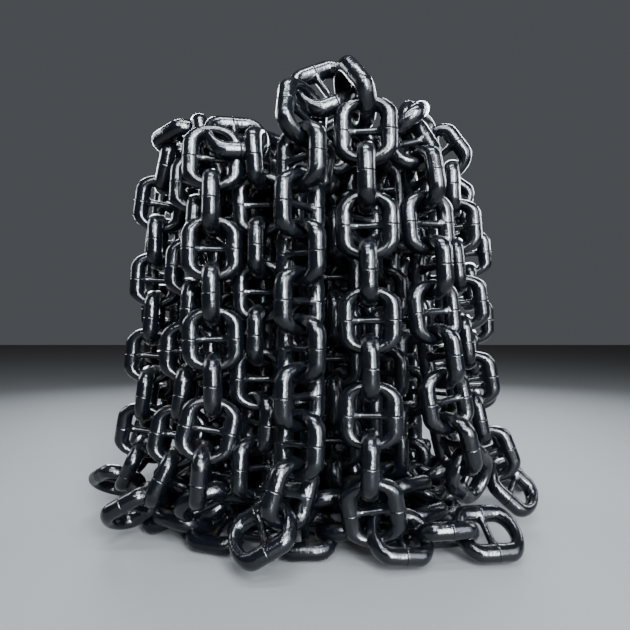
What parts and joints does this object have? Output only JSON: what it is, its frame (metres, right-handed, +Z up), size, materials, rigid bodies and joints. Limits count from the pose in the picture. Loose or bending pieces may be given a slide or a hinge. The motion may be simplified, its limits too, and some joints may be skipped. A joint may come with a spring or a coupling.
{
  "type": "heap of stud-link anchor chain",
  "caption": "Bell-shaped heap of black stud-link anchor chain: bights hang side by side over a packed inner mass, with their lowest links on the floor.",
  "frame": {"origin": "on the floor, under the middle of the packed inner mass", "axes": "+Z up, the pictured front faces -Y, +X to the right of the front, along the longest extent"},
  "size_m": [2.5839, 2.3528, 2.1974],
  "materials": {
    "black_coating": "thick glossy black bituminous coating on steel, wet-looking, with small runs and bumps",
    "inner_chain": "the same black coating, deep in shade inside the heap"
  },
  "bodies": {
    "root": {"core": "inner_chain", "bight_front": "black_coating", "bight_front_left": "black_coating", "bight_left_front": "black_coating", "bight_left": "black_coating", "bight_back_left": "black_coating", "bight_back_right": "black_coating", "bight_right": "black_coating", "bight_right_front": "black_coating"}
  },
  "joints": []
}
